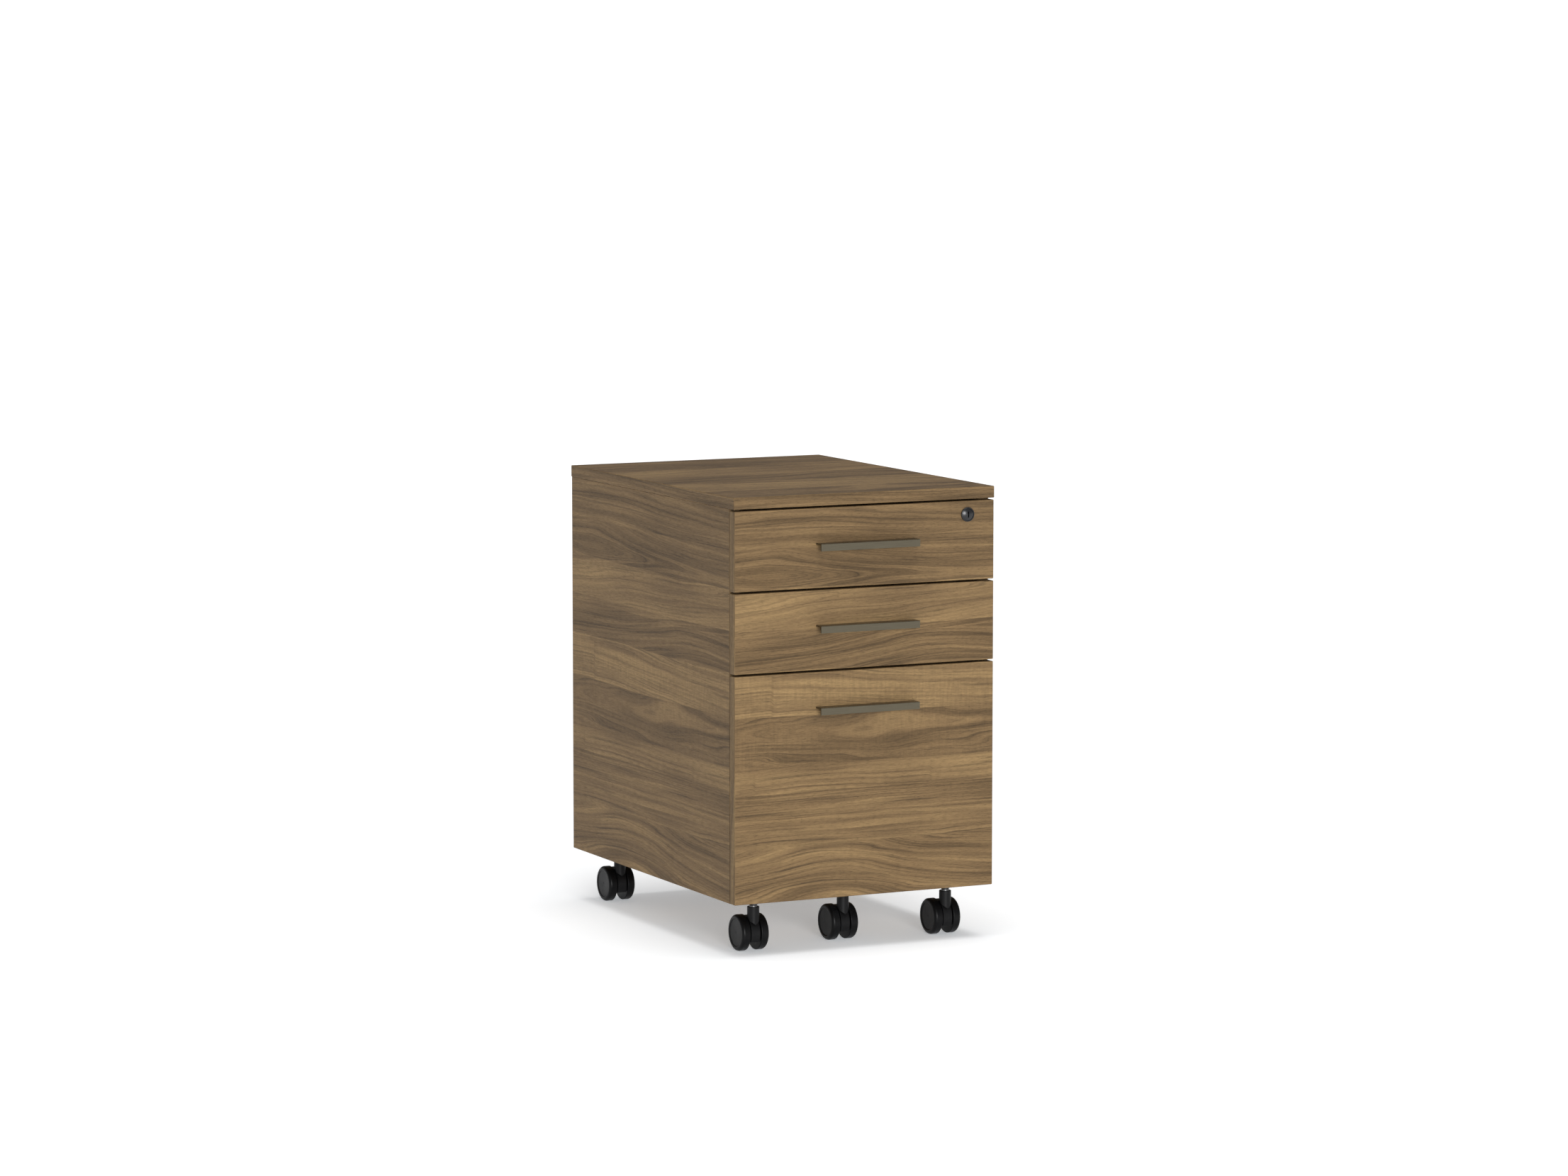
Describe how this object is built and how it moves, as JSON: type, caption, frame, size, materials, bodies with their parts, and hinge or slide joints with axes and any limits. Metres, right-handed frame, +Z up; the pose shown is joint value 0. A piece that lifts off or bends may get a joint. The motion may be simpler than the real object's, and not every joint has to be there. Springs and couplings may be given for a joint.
{
  "type": "mobile drawer pedestal",
  "caption": "Low laminate-board pedestal with box and file drawers on ball slides, L-shaped pulls, a gang lock, and twin-wheel swivel casters below.",
  "frame": {"origin": "on the floor, at the middle of the whole box in width and depth, handles included", "axes": "+Z up; the drawer fronts face -Y; +X is to the right of someone facing the fronts"},
  "size_m": [0.4008, 0.5656, 0.6355],
  "materials": {
    "case_laminate": "walnut-look laminate, satin, grain running horizontally",
    "box_board": "grey melamine-faced board",
    "handle_bronze": "dark bronze anodised, finely brushed along its length",
    "zinc_steel": "bright zinc-plated pressed steel",
    "bearing_steel": "polished balls in a plain retainer",
    "stem_steel": "turned, zinc plated",
    "lock_bar_aluminium": "mill finish",
    "lock_black": "black, glossy",
    "rail_plastic": "black moulded rail",
    "caster_black": "black satin moulded nylon",
    "caster_wheel_black": "black satin moulded nylon wheel"
  },
  "bodies": {
    "root": {"top_panel": "case_laminate", "left_side_panel": "case_laminate", "right_side_panel": "case_laminate", "bottom_panel": "case_laminate", "back_panel": "case_laminate", "cam_fittings": "zinc_steel", "slide_outer_members": "zinc_steel", "caster_sockets": "zinc_steel", "caster_stems": "stem_steel", "lock_bar_straps": "zinc_steel"},
    "lock_bar": {"lock_bar": "lock_bar_aluminium"},
    "lock_plug": {"lock_plug": "lock_black", "lock_cam": "zinc_steel"},
    "file_slide_middles": {"file_slide_middles": "zinc_steel"},
    "upper_cages": {"upper_ball_cages": "bearing_steel"},
    "middle_cages": {"middle_ball_cages": "bearing_steel"},
    "file_outer_cages": {"file_outer_ball_cages": "bearing_steel"},
    "file_inner_cages": {"file_inner_ball_cages": "bearing_steel"},
    "upper_drawer": {"upper_front": "case_laminate", "upper_box_walls": "box_board", "upper_box_bottom": "box_board", "upper_handle": "handle_bronze", "upper_handle_screws": "zinc_steel", "upper_slide_inners": "zinc_steel", "lock_housing": "lock_black"},
    "middle_drawer": {"middle_front": "case_laminate", "middle_box_walls": "box_board", "middle_box_bottom": "box_board", "middle_handle": "handle_bronze", "middle_handle_screws": "zinc_steel", "middle_slide_inners": "zinc_steel"},
    "file_drawer": {"file_front": "case_laminate", "file_box_walls": "box_board", "file_box_bottom": "box_board", "file_handle": "handle_bronze", "file_handle_screws": "zinc_steel", "file_slide_inners": "zinc_steel", "hanging_rails": "rail_plastic", "anti_tip_bracket": "zinc_steel", "anti_tip_stem": "stem_steel"},
    "caster_front_left": {"caster_front_left_body": "caster_black", "caster_front_left_axle": "stem_steel"},
    "caster_front_left_left_wheel": {"caster_front_left_left_wheel": "caster_wheel_black"},
    "caster_front_left_right_wheel": {"caster_front_left_right_wheel": "caster_wheel_black"},
    "caster_front_right": {"caster_front_right_body": "caster_black", "caster_front_right_axle": "stem_steel"},
    "caster_front_right_left_wheel": {"caster_front_right_left_wheel": "caster_wheel_black"},
    "caster_front_right_right_wheel": {"caster_front_right_right_wheel": "caster_wheel_black"},
    "caster_rear_left": {"caster_rear_left_body": "caster_black", "caster_rear_left_axle": "stem_steel"},
    "caster_rear_left_left_wheel": {"caster_rear_left_left_wheel": "caster_wheel_black"},
    "caster_rear_left_right_wheel": {"caster_rear_left_right_wheel": "caster_wheel_black"},
    "caster_rear_right": {"caster_rear_right_body": "caster_black", "caster_rear_right_axle": "stem_steel"},
    "caster_rear_right_left_wheel": {"caster_rear_right_left_wheel": "caster_wheel_black"},
    "caster_rear_right_right_wheel": {"caster_rear_right_right_wheel": "caster_wheel_black"},
    "caster_anti_tip": {"caster_anti_tip_body": "caster_black", "caster_anti_tip_axle": "stem_steel"},
    "caster_anti_tip_left_wheel": {"caster_anti_tip_left_wheel": "caster_wheel_black"},
    "caster_anti_tip_right_wheel": {"caster_anti_tip_right_wheel": "caster_wheel_black"}
  },
  "joints": [
    {"name": "upper_drawer_slide", "type": "slide", "parent": "root", "child": "upper_drawer", "axis": [0, -1, 0], "range_m": [0, 0.33]},
    {"name": "middle_drawer_slide", "type": "slide", "parent": "root", "child": "middle_drawer", "axis": [0, -1, 0], "range_m": [0, 0.33]},
    {"name": "file_drawer_slide", "type": "slide", "parent": "root", "child": "file_drawer", "axis": [0, -1, 0], "range_m": [0, 0.48]},
    {"name": "upper_cage_slide", "type": "slide", "parent": "root", "child": "upper_cages", "axis": [0, -1, 0], "range_m": [0, 0.165]},
    {"name": "middle_cage_slide", "type": "slide", "parent": "root", "child": "middle_cages", "axis": [0, -1, 0], "range_m": [0, 0.165]},
    {"name": "file_middle_slide", "type": "slide", "parent": "root", "child": "file_slide_middles", "axis": [0, -1, 0], "range_m": [0, 0.24]},
    {"name": "file_outer_cage_slide", "type": "slide", "parent": "root", "child": "file_outer_cages", "axis": [0, -1, 0], "range_m": [0, 0.12]},
    {"name": "file_inner_cage_slide", "type": "slide", "parent": "root", "child": "file_inner_cages", "axis": [0, -1, 0], "range_m": [0, 0.36]},
    {"name": "lock_turn", "type": "hinge", "parent": "upper_drawer", "child": "lock_plug", "pos_m": [0.158, -0.26625, 0.5975], "axis": [0, -1, 0], "range_deg": [0, 90]},
    {"name": "lock_bar_lift", "type": "slide", "parent": "root", "child": "lock_bar", "axis": [0, 0, 1], "range_m": [0, 0.01273]},
    {"name": "caster_front_left_swivel", "type": "hinge", "parent": "root", "child": "caster_front_left", "pos_m": [-0.1495, -0.21975, 0.06], "axis": [0, 0, 1], "continuous": true},
    {"name": "caster_front_left_left_wheel_spin", "type": "hinge", "parent": "caster_front_left", "child": "caster_front_left_left_wheel", "pos_m": [-0.1639, -0.20505, 0.0254], "axis": [1, 0, 0], "continuous": true},
    {"name": "caster_front_left_right_wheel_spin", "type": "hinge", "parent": "caster_front_left", "child": "caster_front_left_right_wheel", "pos_m": [-0.1351, -0.20505, 0.0254], "axis": [1, 0, 0], "continuous": true},
    {"name": "caster_front_right_swivel", "type": "hinge", "parent": "root", "child": "caster_front_right", "pos_m": [0.1495, -0.21975, 0.06], "axis": [0, 0, 1], "continuous": true},
    {"name": "caster_front_right_left_wheel_spin", "type": "hinge", "parent": "caster_front_right", "child": "caster_front_right_left_wheel", "pos_m": [0.1351, -0.20505, 0.0254], "axis": [1, 0, 0], "continuous": true},
    {"name": "caster_front_right_right_wheel_spin", "type": "hinge", "parent": "caster_front_right", "child": "caster_front_right_right_wheel", "pos_m": [0.1639, -0.20505, 0.0254], "axis": [1, 0, 0], "continuous": true},
    {"name": "caster_rear_left_swivel", "type": "hinge", "parent": "root", "child": "caster_rear_left", "pos_m": [-0.1495, 0.22875, 0.06], "axis": [0, 0, 1], "continuous": true},
    {"name": "caster_rear_left_left_wheel_spin", "type": "hinge", "parent": "caster_rear_left", "child": "caster_rear_left_left_wheel", "pos_m": [-0.1639, 0.24345, 0.0254], "axis": [1, 0, 0], "continuous": true},
    {"name": "caster_rear_left_right_wheel_spin", "type": "hinge", "parent": "caster_rear_left", "child": "caster_rear_left_right_wheel", "pos_m": [-0.1351, 0.24345, 0.0254], "axis": [1, 0, 0], "continuous": true},
    {"name": "caster_rear_right_swivel", "type": "hinge", "parent": "root", "child": "caster_rear_right", "pos_m": [0.1495, 0.22875, 0.06], "axis": [0, 0, 1], "continuous": true},
    {"name": "caster_rear_right_left_wheel_spin", "type": "hinge", "parent": "caster_rear_right", "child": "caster_rear_right_left_wheel", "pos_m": [0.1351, 0.24345, 0.0254], "axis": [1, 0, 0], "continuous": true},
    {"name": "caster_rear_right_right_wheel_spin", "type": "hinge", "parent": "caster_rear_right", "child": "caster_rear_right_right_wheel", "pos_m": [0.1639, 0.24345, 0.0254], "axis": [1, 0, 0], "continuous": true},
    {"name": "caster_anti_tip_swivel", "type": "hinge", "parent": "file_drawer", "child": "caster_anti_tip", "pos_m": [0, -0.19725, 0.06], "axis": [0, 0, 1], "continuous": true},
    {"name": "caster_anti_tip_left_wheel_spin", "type": "hinge", "parent": "caster_anti_tip", "child": "caster_anti_tip_left_wheel", "pos_m": [-0.0144, -0.18255, 0.0254], "axis": [1, 0, 0], "continuous": true},
    {"name": "caster_anti_tip_right_wheel_spin", "type": "hinge", "parent": "caster_anti_tip", "child": "caster_anti_tip_right_wheel", "pos_m": [0.0144, -0.18255, 0.0254], "axis": [1, 0, 0], "continuous": true}
  ],
  "couplings": [
    {"joint": "upper_cage_slide", "follows": "upper_drawer_slide", "ratio": 0.5},
    {"joint": "middle_cage_slide", "follows": "middle_drawer_slide", "ratio": 0.5},
    {"joint": "file_middle_slide", "follows": "file_drawer_slide", "ratio": 0.5},
    {"joint": "file_outer_cage_slide", "follows": "file_drawer_slide", "ratio": 0.25},
    {"joint": "file_inner_cage_slide", "follows": "file_drawer_slide", "ratio": 0.75},
    {"joint": "lock_turn", "follows": "lock_bar_lift", "rad_per_m": 123.41}
  ]
}
